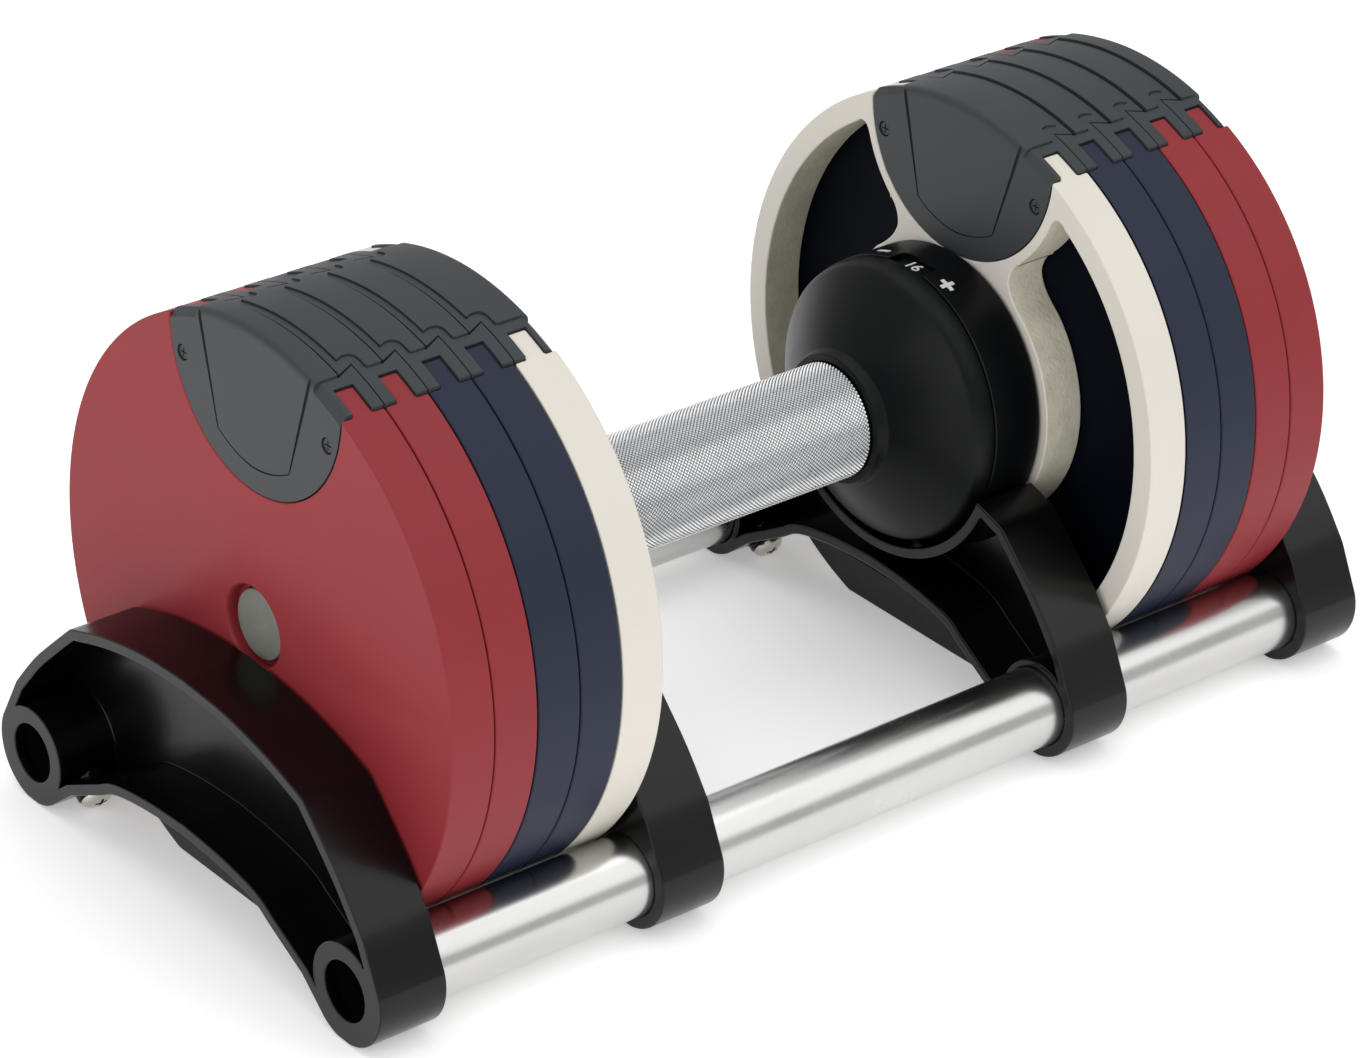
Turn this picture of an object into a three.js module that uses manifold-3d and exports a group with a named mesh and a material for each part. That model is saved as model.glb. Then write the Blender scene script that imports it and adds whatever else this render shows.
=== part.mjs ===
// Adjustable dumbbell on its cradle.  Millimetres, +Z up, X along the handle, floor at z = 0.
import * as THREE from 'three';
import { mergeVertices } from 'three/addons/utils/BufferGeometryUtils.js';
import Module from 'manifold-3d';

const wasm = await Module();
wasm.setup();

// ---- driving dimensions -------------------------------------------------------------------
const TUBE_Z = 15.1;          // height of the two base tubes' centres above the floor
const AXIS_UP = 65.8;         // handle axis above the base tubes' centres
const TUBE_Y = 71.2;          // half the spacing of the base tubes
const TUBE_R = 11.5;
const TUBE_BORE = 9.9;
const TUBE_HALF = 174.2;

const PLATE_R = 85;
const PLATE_T = 13.3;
const PLATE_PITCH = 13.7;
const PLATE_COUNT = 5;
const STACK_IN = 87;          // inner face of the innermost plate
const PLATE_FLAT = 80.7;      // axis to the flat on the plates' underside
const PLATE_BORE = 10;
const RIM_R = 12.3;           // counterbore round the grey disc in the outermost plate
const RIM_DEPTH = 3.8;
const DISC_DEPTH = 2.1;       // its face below the plate's
const NOTCH_UP = 77.4;        // centre of the round notch above the axis
const NOTCH_R = 37.1;
const CREST_R = 86.1;         // top of the plastic inserts, about the axis
const CREST_HALF = 25.4;      // half width of the raised middle of an insert
const TAB_R = 80.6;           // underside of the tabs that run up from a plate into its insert
const TAB_TOP = 19.8;         // degrees from the top
const TAB_ROOT = 27.4;
const FINGER_T = 3.7;         // plastic left on each side of a tab
const TONGUE = 6;             // reach of an insert's tongue past its own plate
const TONGUE_NECK = 22.8;     // half widths of the dovetail
const TONGUE_HEAD = 25.6;
const KIDNEY_R = 77.8;        // rim side of the openings in the innermost plate
const KIDNEY_HUB = 43.4;      // hub side of the same openings
const PANEL_RISE = 0.8;

const AXLE_R = 9.5;
const AXLE_LEN = 77.5;
const AXLE_TAIL = 43;         // inner end of the axle with three plates engaged
const PIN_IN = 5.5;           // follower pin from the axle's inner end
const PIN_R = 1.8;
const STEP_ANGLE = 60;        // handle turn for one plate a side
const TURN_LOW = -180;
const TURN_HIGH = 120;
const CORE_IN = 9.6;
const CORE_OUT = 12.6;
const CORE_HALF = 86;
const DRIVE_IN = 12.75;
const DRIVE_OUT = 14.6;
const DRIVE_HALF = 80.5;
const GRIP_R = 17;
const GRIP_IN = 14.7;
const GRIP_HALF = 47;

const HUB_R = 41.7;
const HUB_FRONT = 69.3;
const HUB_BACK = 86.3;
const LOCK_X = 79.5;
const SADDLE_R = 43.5;

const BRACKET_WALL = 3.2;
const BRACKET_BACK = 3;
const OUTER_X = [156.2, 177.4];
const INNER_X = [63.5, 84.8];
const BOSS_R = 15.3;          // a little more than TUBE_Z, so each boss has a narrow flat to stand on
const BOSS_RING = 13.6;
const BOSS_EYE = 8.5;
const GUARD_R = 85.2;         // the plate-side wall follows the plates' outline below the arch
const GUARD_LOW = 0.3;        // its flat bottom above the floor
const SCREW_ANGLE = 58;       // cradle screws, from straight down, towards the middle

const GAP = 0.3;
const DEG = Math.PI / 180;

// ---- materials ----------------------------------------------------------------------------
const paint = (color, roughness, metalness) =>
  new THREE.MeshStandardMaterial({ color, roughness, metalness });
const LOOKS = {
  red: () => paint(0x9c3a40, 0.5, 0.1),
  navy: () => paint(0x353e58, 0.5, 0.1),
  white: () => paint(0xe3ded2, 0.55, 0.05),
  plastic: () => paint(0x2e3134, 0.55, 0),
  gloss: () => paint(0x0c0d0f, 0.22, 0),
  chrome: () => paint(0xd4d2cc, 0.12, 1),
  knurl: () => paint(0xb9babd, 0.35, 1),
  steel: () => paint(0x9a9a98, 0.35, 1),
  disc: () => paint(0x83857e, 0.6, 0.6),
};

// ---- solids -------------------------------------------------------------------------------
function solidOf(geometry) {
  const bare = geometry.clone();
  bare.deleteAttribute('normal');
  bare.deleteAttribute('uv');
  const merged = mergeVertices(bare, 1e-4);
  const position = merged.attributes.position.array;
  const index = Array.from(merged.index.array);
  const tris = [];
  let volume = 0;
  for (let i = 0; i < index.length; i += 3) {
    const [a, b, c] = [index[i], index[i + 1], index[i + 2]];
    if (a === b || b === c || c === a) continue;
    tris.push(a, b, c);
    const p = [a, b, c].map((k) => new THREE.Vector3().fromArray(position, 3 * k));
    volume += p[0].dot(p[1].cross(p[2]));
  }
  if (volume < 0) {
    for (let i = 0; i < tris.length; i += 3) [tris[i], tris[i + 1]] = [tris[i + 1], tris[i]];
  }
  const mesh = new wasm.Mesh({
    numProp: 3,
    vertProperties: new Float32Array(position),
    triVerts: new Uint32Array(tris),
  });
  return new wasm.Manifold(mesh);
}

function geometryOf(solid) {
  const mesh = solid.getMesh();
  const geometry = new THREE.BufferGeometry();
  geometry.setAttribute('position', new THREE.BufferAttribute(mesh.vertProperties.slice(), 3));
  geometry.setIndex(new THREE.BufferAttribute(mesh.triVerts.slice(), 1));
  geometry.computeVertexNormals();
  return geometry;
}

const join = (...solids) => solids.reduce((a, b) => a.add(b));
const cut = (solid, ...tools) => tools.reduce((a, b) => a.subtract(b), solid);

// Shape coordinates are (y, z); the prism runs along X from x0 to x1.
const ALONG_X = new THREE.Matrix4().makeBasis(
  new THREE.Vector3(0, 1, 0), new THREE.Vector3(0, 0, 1), new THREE.Vector3(1, 0, 0));

function prism(shape, x0, x1, curveSegments = 24) {
  const geometry = new THREE.ExtrudeGeometry(shape, {
    depth: x1 - x0, bevelEnabled: false, curveSegments,
  });
  geometry.applyMatrix4(ALONG_X);
  geometry.translate(x0, 0, 0);
  return solidOf(geometry);
}

// Shape coordinates are (x, y); the prism stands on z0 and ends at z1.
function column(points, z0, z1) {
  const shape = new THREE.Shape(points.map(([x, y]) => new THREE.Vector2(x, y)));
  const geometry = new THREE.ExtrudeGeometry(shape, { depth: z1 - z0, bevelEnabled: false });
  geometry.translate(0, 0, z0);
  return solidOf(geometry);
}

// A profile of [x, radius] corners turned about the X axis.
const ABOUT_X = new THREE.Matrix4().makeBasis(
  new THREE.Vector3(0, 0, 1), new THREE.Vector3(1, 0, 0), new THREE.Vector3(0, 1, 0));

function turned(profile, segments) {
  const points = [...profile, profile[0]].map(([x, r]) => new THREE.Vector2(r, x));
  const geometry = new THREE.LatheGeometry(points, segments);
  geometry.applyMatrix4(ABOUT_X);
  return solidOf(geometry);
}

const rod = (x0, x1, r, segments) => turned([[x0, 0], [x0, r], [x1, r], [x1, 0]], segments);

function box(x0, x1, y0, y1, z0, z1) {
  const geometry = new THREE.BoxGeometry(x1 - x0, y1 - y0, z1 - z0);
  geometry.translate((x0 + x1) / 2, (y0 + y1) / 2, (z0 + z1) / 2);
  return solidOf(geometry);
}

// An upright cylinder, used for pins and holes that run along Z.
function post(x, y, z0, z1, r, segments = 12) {
  const geometry = new THREE.CylinderGeometry(r, r, z1 - z0, segments);
  geometry.rotateX(Math.PI / 2);
  geometry.translate(x, y, (z0 + z1) / 2);
  return solidOf(geometry);
}

// The same piece on the other side of the middle plane.
function mirrored(geometry) {
  const copy = geometry.clone();
  copy.scale(-1, 1, 1);
  const index = copy.index.array;
  for (let i = 0; i < index.length; i += 3) {
    const first = index[i];
    index[i] = index[i + 1];
    index[i + 1] = first;
  }
  copy.computeVertexNormals();
  return copy;
}

function add(group, name, geometry, look) {
  const mesh = new THREE.Mesh(geometry, LOOKS[look]());
  mesh.name = name;
  group.add(mesh);
}

function addPair(group, name, solid, look) {
  const geometry = geometryOf(solid);
  add(group, `${name}_right`, geometry, look);
  add(group, `${name}_left`, mirrored(geometry), look);
}

const object = new THREE.Group();
const cradle = new THREE.Group();
cradle.position.z = TUBE_Z;
object.add(cradle);
const dumbbell = new THREE.Group();
dumbbell.position.z = TUBE_Z + AXIS_UP;
object.add(dumbbell);

// ---- weight plates ------------------------------------------------------------------------
// Where a circle about the axis meets a circle about the notch centre.
function crossing(aboutAxis, aboutNotch) {
  const z = (aboutAxis ** 2 + NOTCH_UP ** 2 - aboutNotch ** 2) / (2 * NOTCH_UP);
  return [Math.sqrt(aboutAxis ** 2 - z ** 2), z];
}

function plateShape() {
  const [ny, nz] = crossing(PLATE_R, NOTCH_R);
  const rim = Math.atan2(nz, ny);
  const notch = Math.atan2(nz - NOTCH_UP, ny);
  const flat = Math.asin(PLATE_FLAT / PLATE_R);
  const shape = new THREE.Shape();
  shape.absarc(0, 0, PLATE_R, rim, -flat, true);
  shape.absarc(0, 0, PLATE_R, Math.PI + flat, Math.PI - rim, true);
  shape.absarc(0, NOTCH_UP, NOTCH_R, Math.PI - notch, 2 * Math.PI + notch, false);
  return shape;
}

// One side of the pair of openings in the innermost plate.
function kidneyShape(side) {
  const path = new THREE.Shape();
  const at = (r, degrees) => [side * r * Math.cos(degrees * DEG), r * Math.sin(degrees * DEG)];
  const arc = (cz, r, from, to) => {
    const steps = Math.max(2, Math.ceil(Math.abs(to - from) / 9));
    for (let i = 0; i <= steps; i += 1) {
      const [y, z] = at(r, from + ((to - from) * i) / steps);
      path.lineTo(y, cz + z);
    }
  };
  const bend = (cy, cz, y, z) => path.quadraticCurveTo(side * cy, cz, side * y, z);
  path.moveTo(...at(KIDNEY_R, 56));
  arc(0, KIDNEY_R, 56, -58);
  bend(35.2, -71.4, 29.6, -63.6);
  path.lineTo(side * 23.4, -48.6);
  bend(19.6, -41.5, ...at(KIDNEY_HUB, -58).map(Math.abs).map((v, i) => (i ? -v : v)));
  arc(0, KIDNEY_HUB, -52, 44);
  bend(24.2, 35.4, 23.2, 40.2);
  bend(23.2, 44.6, 27, 47.7);
  arc(NOTCH_UP, 40.1, -47.7, -21);
  bend(39.6, 68.4, 43.5, 64.5);
  return path;
}

// A length of ring under the rim, on one side of the notch.
function tabZone(x0, x1, side, inner, outer, from, to) {
  const shape = new THREE.Shape();
  const low = Math.PI / 2 - to * DEG;
  const high = Math.PI / 2 - from * DEG;
  const [a, b] = side > 0 ? [low, high] : [Math.PI - high, Math.PI - low];
  shape.absarc(0, 0, outer, a, b, false);
  shape.absarc(0, 0, inner, b, a, true);
  return prism(shape, x0, x1, 1);
}

function plate(number) {
  const x0 = STACK_IN + number * PLATE_PITCH;
  const x1 = x0 + PLATE_T;
  let solid = prism(plateShape(), x0, x1, 12);
  solid = cut(solid, rod(x0 - 1, x1 + 1, PLATE_BORE, 20));
  if (number === PLATE_COUNT - 1) solid = cut(solid, rod(x1 - RIM_DEPTH, x1 + 1, RIM_R, 24));
  for (const side of [-1, 1]) {
    const tab = tabZone(x0 + FINGER_T, x1 - FINGER_T, side, TAB_R, PLATE_R, TAB_TOP, TAB_ROOT);
    solid = join(solid, tab);
    if (number === 0) solid = cut(solid, prism(kidneyShape(side), x0 - 1, x1 + 1, 4));
  }
  return solid;
}

// The lens between the notch and a top radius, shrunk by `inset` at the notch.
function lensShape(topRadius, inset) {
  const radius = NOTCH_R - inset;
  const [cy, cz] = crossing(topRadius, radius);
  const top = Math.atan2(cz, cy);
  const side = Math.atan2(cz - NOTCH_UP, cy);
  const shape = new THREE.Shape();
  shape.absarc(0, 0, topRadius, top, Math.PI - top, false);
  shape.absarc(0, NOTCH_UP, radius, Math.PI - side, 2 * Math.PI + side, false);
  return shape;
}

// Plan of a tongue: a dovetail, wider at its tip, so that neighbours can't pull apart.
function tonguePlan(x, slack) {
  const half = [[x - 3, TONGUE_NECK + slack], [x, TONGUE_NECK + slack],
    [x + TONGUE + slack, TONGUE_HEAD + slack]];
  return [...half.map(([a, b]) => [a, -b]), ...half.reverse()];
}

function crestPlan(x0, x1) {
  return [[x0, -CREST_HALF], [x1, -CREST_HALF], [x1, CREST_HALF], [x0, CREST_HALF]];
}

function panelShape() {
  const shape = new THREE.Shape();
  shape.moveTo(25.5, 80.6);
  shape.lineTo(-25.5, 80.6);
  shape.lineTo(-15.4, 52);
  shape.quadraticCurveTo(-8, 47.4, 0, 47.2);
  shape.quadraticCurveTo(8, 47.4, 15.4, 52);
  return shape;
}

function insert(number) {
  const x0 = STACK_IN + number * PLATE_PITCH;
  const x1 = x0 + PLATE_T;
  const start = number > 0 ? x0 - (PLATE_PITCH - PLATE_T) + TONGUE + GAP : x0;
  const crest = prism(lensShape(CREST_R, GAP), x0, x1, 5).intersect(column(crestPlan(start, x1), 30, 100));
  let solid = join(prism(lensShape(PLATE_R, GAP), x0, x1, 6), crest);
  for (const side of [-1, 1]) {
    const slot = tabZone(
      x0 + FINGER_T - GAP / 2, x1 - FINGER_T + GAP / 2, side, TAB_R - GAP, PLATE_R + 2,
      TAB_TOP - 0.2, TAB_ROOT + 4,
    );
    solid = cut(solid, slot);
  }
  if (number > 0) {
    const before = x0 - PLATE_PITCH + PLATE_T;
    solid = cut(solid, column(tonguePlan(before, GAP), 30, 100));
  }
  if (number < PLATE_COUNT - 1) {
    const plan = column(tonguePlan(x1, 0), 30, 100);
    const reach = prism(lensShape(CREST_R, GAP + 0.6), x1 - 2, x1 + TONGUE + 1, 5);
    solid = join(solid, plan.intersect(reach));
  }
  const faces = [];
  if (number === 0) faces.push([x0 - PANEL_RISE, x0 + 1, x0 - 1, x0 + 4]);
  if (number === PLATE_COUNT - 1) faces.push([x1 - 1, x1 + PANEL_RISE, x1 - 4, x1 + 1]);
  for (const [a, b, c, d] of faces) {
    solid = join(solid, prism(panelShape(), a, b, 5));
    for (const side of [-1, 1]) {
      const hole = rod(c, d, 2.3, 10).translate([0, side * 31.2, 67]);
      solid = cut(solid, hole);
    }
  }
  return solid;
}

const COLOURS = ['white', 'navy', 'navy', 'red', 'red'];
for (let number = 0; number < PLATE_COUNT; number += 1) {
  addPair(dumbbell, `plate_${number + 1}`, plate(number), COLOURS[number]);
  addPair(dumbbell, `insert_${number + 1}`, insert(number), 'plastic');
}

const STACK_OUT = STACK_IN + (PLATE_COUNT - 1) * PLATE_PITCH + PLATE_T;
const insertScrew = (x0, x1) => rod(x0, x1, 2, 10);
for (const [side, place] of [[-1, 'rear'], [1, 'front']]) {
  const inside = insertScrew(STACK_IN + 0.4, STACK_IN + 3.6).translate([0, -side * 31.2, 67]);
  const outside = insertScrew(STACK_OUT - 3.6, STACK_OUT - 0.4).translate([0, -side * 31.2, 67]);
  addPair(dumbbell, `inner_insert_screw_${place}`, inside, 'plastic');
  addPair(dumbbell, `outer_insert_screw_${place}`, outside, 'plastic');
}
addPair(dumbbell, 'end_plug', rod(STACK_OUT - 6.5, STACK_OUT - DISC_DEPTH, PLATE_BORE - 0.15, 20), 'disc');

// ---- handle and its plate selector ---------------------------------------------------------
const PIN_X = AXLE_TAIL + PIN_IN;
const STEPS_LOW = TURN_LOW / STEP_ANGLE;
const STEPS_HIGH = TURN_HIGH / STEP_ANGLE;
const PIN_FROM = PIN_X + STEPS_LOW * PLATE_PITCH;
const PIN_TO = PIN_X + STEPS_HIGH * PLATE_PITCH;

let axle = turned([
  [AXLE_TAIL, 0], [AXLE_TAIL, AXLE_R], [AXLE_TAIL + AXLE_LEN - 2.5, AXLE_R],
  [AXLE_TAIL + AXLE_LEN, AXLE_R - 2], [AXLE_TAIL + AXLE_LEN, 0],
], 28);
axle = cut(axle, post(PIN_X, 0, 5, 12, PIN_R + 0.1, 12));
addPair(dumbbell, 'axle', axle, 'steel');
addPair(dumbbell, 'follower_pin', post(PIN_X, 0, 5.2, DRIVE_OUT - 0.3, PIN_R, 12), 'steel');

const core = turned([
  [-CORE_HALF, CORE_IN], [-CORE_HALF, CORE_OUT], [CORE_HALF, CORE_OUT], [CORE_HALF, CORE_IN],
], 28);
const slotRight = box(PIN_FROM - 2.2, PIN_TO + 2.2, -2.1, 2.1, 3, 20);
const slotLeft = box(-PIN_TO - 2.2, -PIN_FROM + 2.2, -2.1, 2.1, 3, 20);
add(dumbbell, 'core_tube', geometryOf(cut(core, slotRight, slotLeft)), 'steel');

// The spiral slots: the pin stays on top while the sleeve turns round it.
function spiralCutter(hand) {
  const steps = 15;
  const spots = [];
  for (let i = 0; i <= steps; i += 1) {
    const turn = TURN_LOW + ((TURN_HIGH - TURN_LOW) * i) / steps;
    const x = PIN_X + (turn / STEP_ANGLE) * PLATE_PITCH;
    spots.push(post(hand * x, 0, CORE_OUT - 1.5, DRIVE_OUT + 1.5, PIN_R + 0.3, 8).rotate([-turn, 0, 0]));
  }
  const parts = [];
  for (let i = 0; i < steps; i += 1) parts.push(wasm.Manifold.hull([spots[i], spots[i + 1]]));
  return join(...parts);
}
const drive = turned([
  [-DRIVE_HALF, DRIVE_IN], [-DRIVE_HALF, DRIVE_OUT], [DRIVE_HALF, DRIVE_OUT], [DRIVE_HALF, DRIVE_IN],
], 28);
add(dumbbell, 'drive_sleeve', geometryOf(cut(drive, spiralCutter(1), spiralCutter(-1))), 'steel');

const grip = turned([
  [-GRIP_HALF, GRIP_IN], [-GRIP_HALF, GRIP_R - 0.6], [-GRIP_HALF + 0.6, GRIP_R],
  [GRIP_HALF - 0.6, GRIP_R], [GRIP_HALF, GRIP_R - 0.6], [GRIP_HALF, GRIP_IN],
], 32);
add(dumbbell, 'grip_sleeve', geometryOf(grip), 'knurl');

// Turning cover with the number ring behind it.
let dial = turned([
  [44.9, 17.15], [44.9, 19.2], [47.9, 20.2], [50.2, 23.8], [57.4, 35.2], [62.2, 40.6],
  [64.4, 41.5], [69, 41.5], [69, 40.2], [75.8, 40.2], [75.8, 36.3],
  [64.6, 36.3], [52.6, 21], [52.6, 18.4], [71.6, 18.4],
  [71.6, 14.7], [47.3, 14.7], [47.3, 17.15],
], 32);
for (let i = 0; i < 6; i += 1) {
  const notch = box(69.2, 77, -2.8, 2.8, -38.9, -34);
  dial = cut(dial, notch.rotate([60 * i, 0, 0]));
}
addPair(dumbbell, 'dial', dial, 'plastic');

// Fixed housing at the back of the dial, with the window over the number ring.
let hub = turned([
  [HUB_FRONT, 40.6], [HUB_FRONT, HUB_R], [HUB_BACK, HUB_R],
  [HUB_BACK, CORE_OUT + 0.1], [81.3, CORE_OUT + 0.1], [81.3, 14.8], [72, 14.8], [72, 18.5],
  [83, 18.5], [83, 38.5], [76.2, 38.5], [76.2, 40.6],
], 32);
hub = cut(hub, box(HUB_FRONT - 1, 75.2, -7, 7, 30, 50));
hub = cut(hub, post(LOCK_X, 0, -50, -30, 3.2));
addPair(dumbbell, 'hub_housing', hub, 'plastic');

// Lock pin: its tooth drops into the number ring when the dumbbell leaves the cradle.
const lockPin = join(
  post(LOCK_X, 0, -42.8, -31, 3),
  box(70.5, 82.4, -2.4, 2.4, -33, -30),
  box(70.5, 75.4, -2.4, 2.4, -35.6, -32),
);
addPair(dumbbell, 'lock_pin', lockPin, 'steel');

class Coil extends THREE.Curve {
  constructor(x, low, high, radius, turns) {
    super();
    Object.assign(this, { x, low, high, radius, turns });
  }

  getPoint(t, target = new THREE.Vector3()) {
    const a = t * this.turns * 2 * Math.PI;
    return target.set(
      this.x + this.radius * Math.cos(a), this.radius * Math.sin(a), this.low + (this.high - this.low) * t);
  }
}
const wire = new THREE.Shape();
wire.absarc(0, 0, 0.45, 0, 2 * Math.PI, false);
const spring = new THREE.ExtrudeGeometry(wire, {
  steps: 32, curveSegments: 2, extrudePath: new Coil(LOCK_X, -29.3, -19.3, 2.1, 4),
});
addPair(dumbbell, 'lock_spring', solidOf(spring), 'steel');

// ---- cradle -------------------------------------------------------------------------------
for (const [side, place] of [[-1, 'front'], [1, 'rear']]) {
  const bar = turned([
    [-TUBE_HALF, TUBE_BORE], [-TUBE_HALF, TUBE_R], [TUBE_HALF, TUBE_R], [TUBE_HALF, TUBE_BORE],
  ], 28).translate([0, side * TUBE_Y, 0]);
  add(cradle, `tube_${place}`, geometryOf(bar), 'chrome');
}

// Half of the arch, from the middle of its top to the middle of its underside.
const ARCH_CROWN = [[0, 57.6], [18, 56.5], [36, 53.1], [51, 48.4]];
const ARCH_SIDE = [[52.3, 47.8], [61, 39.4], [69.8, 30.4], [78.6, 19.2]];
const ARCH_UNDER = [[53, -4.6], [39, 3.7], [31, 8.4], [16, 11.2], [0, 12.2]];

const ARCH_GUARD = [
  [-50, GUARD_LOW - TUBE_Z], [50, GUARD_LOW - TUBE_Z], [50, 0], [38, 8], [20, 14], [-20, 14], [-38, 8], [-50, 0],
];

function archHalf(inset) {
  const spline = (list, count) =>
    new THREE.SplineCurve(list.map(([y, z]) => new THREE.Vector2(y, z))).getPoints(count);
  const ring = (from, to, count) => {
    const arc = new THREE.EllipseCurve(TUBE_Y, 0, BOSS_R, BOSS_R, from * DEG, to * DEG, true);
    return arc.getPoints(count);
  };
  const line = [
    ...spline(ARCH_CROWN, 5), ...spline(ARCH_SIDE, 3), ...ring(20, -125, 8), ...spline(ARCH_UNDER, 5),
  ];
  if (!inset) return line;
  const moved = [];
  for (let i = 0; i < line.length; i += 1) {
    const before = line[Math.max(i - 1, 0)];
    const after = line[Math.min(i + 1, line.length - 1)];
    const along = i === 0 || i === line.length - 1
      ? new THREE.Vector2(i === 0 ? 1 : -1, 0)
      : after.clone().sub(before).normalize();
    moved.push(line[i].clone().add(new THREE.Vector2(along.y, -along.x).multiplyScalar(inset)));
  }
  return moved;
}

function archShape(inset) {
  const half = archHalf(inset);
  const other = half.slice(1, -1).reverse().map((p) => new THREE.Vector2(-p.x, p.y));
  return new THREE.Shape([...half, ...other]);
}

// The plate-side wall's lower part: as wide as the plates, between the two legs.
function plateGuard(x0, x1) {
  const plan = new THREE.Shape(ARCH_GUARD.map(([y, z]) => new THREE.Vector2(y, z)));
  const round = rod(x0, x1, GUARD_R, 36).translate([0, 0, AXIS_UP]);
  return prism(plan, x0, x1, 1).intersect(round);
}

// Turns -Y towards the screw's line, which runs down and inwards from the tube's centre.
const screwTurn = (side) => (side > 0 ? 90 - SCREW_ANGLE : 90 + SCREW_ANGLE) * DEG;

function screwRod(x, side, near, far, r, segments) {
  const geometry = new THREE.CylinderGeometry(r, r, far - near, segments);
  geometry.translate(0, -(near + far) / 2, 0);
  geometry.rotateX(screwTurn(side));
  geometry.translate(x, side * TUBE_Y, 0);
  return solidOf(geometry);
}

function bracket([near, far], openNear, saddle) {
  const middle = (near + far) / 2;
  let solid = prism(archShape(0), near, far, 1);
  for (const side of [-1, 1]) {
    solid = join(solid, screwRod(middle, side, 12.4, 17.5, 5.2, 10));
  }
  const [p0, p1] = openNear ? [near - 1, far - BRACKET_BACK] : [near + BRACKET_BACK, far + 1];
  let pocket = prism(archShape(BRACKET_WALL), p0, p1, 1);
  if (saddle) {
    solid = cut(solid, rod(near - 1, far + 1, SADDLE_R, 48).translate([0, 0, AXIS_UP]));
    pocket = cut(pocket, rod(p0 - 1, p1 + 1, SADDLE_R + BRACKET_WALL, 48).translate([0, 0, AXIS_UP]));
    solid = join(solid, post(LOCK_X, 0, 20, AXIS_UP - 42.9, 4.5));
    pocket = cut(pocket, post(LOCK_X, 0, 5, 30, 6));
  }
  for (const side of [-1, 1]) {
    pocket = cut(pocket, rod(p0 - 1, p1 + 1, BOSS_RING, 20).translate([0, side * TUBE_Y, 0]));
    pocket = cut(pocket, screwRod(middle, side, 9, 17.5, 5.2, 10));
  }
  solid = cut(solid, pocket);
  solid = join(solid, plateGuard(...(openNear ? [far - BRACKET_BACK, far] : [near, near + BRACKET_BACK])));
  solid = cut(solid, box(near - 1, far + 1, -100, 100, -TUBE_Z - 5, -TUBE_Z));
  for (const side of [-1, 1]) {
    const at = [0, side * TUBE_Y, 0];
    const seatEnd = saddle ? far + 1 : TUBE_HALF + GAP;
    solid = cut(solid, rod(near - 1, seatEnd, TUBE_R + 0.1, 28).translate(at));
    if (!saddle) solid = cut(solid, rod(near - 1, far + 1, BOSS_EYE, 20).translate(at));
    solid = cut(solid, screwRod(middle, side, 10, 19, 2.2, 8));
  }
  return solid;
}

addPair(cradle, 'outer_bracket', bracket(OUTER_X, false, false), 'gloss');
addPair(cradle, 'inner_bracket', bracket(INNER_X, true, true), 'gloss');

// Pan-head screws that clamp each bracket on its tubes.
function cradleScrew(x, side) {
  const profile = [
    [11.9, 0], [11.9, 1.9], [17.8, 1.9], [17.8, 4.8], [18.8, 4.8], [20.7, 2.6], [20.7, 0],
  ];
  const points = profile.map(([d, r]) => new THREE.Vector2(r, -d));
  const geometry = new THREE.LatheGeometry(points, 10);
  geometry.rotateX(screwTurn(side));
  geometry.translate(x, side * TUBE_Y, 0);
  return solidOf(geometry);
}
for (const [side, place] of [[-1, 'front'], [1, 'rear']]) {
  const [outer, inner] = [OUTER_X, INNER_X].map(([a, b]) => (a + b) / 2);
  addPair(cradle, `outer_cradle_screw_${place}`, cradleScrew(outer, side), 'steel');
  addPair(cradle, `inner_cradle_screw_${place}`, cradleScrew(inner, side), 'steel');
}

export default object;
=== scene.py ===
import math
import bmesh
import bpy
from mathutils import Matrix, Vector


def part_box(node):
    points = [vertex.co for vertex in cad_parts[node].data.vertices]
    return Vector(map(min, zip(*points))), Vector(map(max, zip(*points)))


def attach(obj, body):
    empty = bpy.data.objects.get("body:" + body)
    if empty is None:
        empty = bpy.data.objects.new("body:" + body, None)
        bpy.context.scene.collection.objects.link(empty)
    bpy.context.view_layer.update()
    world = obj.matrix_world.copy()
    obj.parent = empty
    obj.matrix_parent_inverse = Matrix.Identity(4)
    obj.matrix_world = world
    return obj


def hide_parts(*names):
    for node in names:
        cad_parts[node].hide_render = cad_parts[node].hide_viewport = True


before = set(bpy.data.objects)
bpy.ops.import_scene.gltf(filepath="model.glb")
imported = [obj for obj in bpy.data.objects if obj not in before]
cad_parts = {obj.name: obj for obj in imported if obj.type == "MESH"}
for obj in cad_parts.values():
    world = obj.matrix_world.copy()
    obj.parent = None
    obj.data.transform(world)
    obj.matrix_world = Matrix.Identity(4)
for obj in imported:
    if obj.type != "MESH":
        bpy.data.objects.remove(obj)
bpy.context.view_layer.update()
MM = 0.001

# ---- sizes in millimetres: first the ones that the frame gives -------------------------------


def span(node, axis):
    low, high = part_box(node)
    return low[axis] / MM, high[axis] / MM


def middle(node, axis):
    low, high = span(node, axis)
    return (low + high) / 2


AXIS_Z = middle("core_tube", 2)
TUBE_Z = middle("tube_front", 2)
TUBE_Y = middle("tube_rear", 1)
TUBE_R = (span("tube_front", 2)[1] - span("tube_front", 2)[0]) / 2
TUBE_HALF = span("tube_front", 0)[1]
PLATE_X = [span(f"plate_{i}_right", 0) for i in range(1, 6)]
PLATE_T = PLATE_X[0][1] - PLATE_X[0][0]
PITCH = PLATE_X[1][0] - PLATE_X[0][0]
OUTER_X = span("outer_bracket_right", 0)
INNER_X = span("inner_bracket_right", 0)
GRIP_HALF = span("grip_sleeve", 0)[1]
GRIP_R = (span("grip_sleeve", 2)[1] - span("grip_sleeve", 2)[0]) / 2

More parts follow.
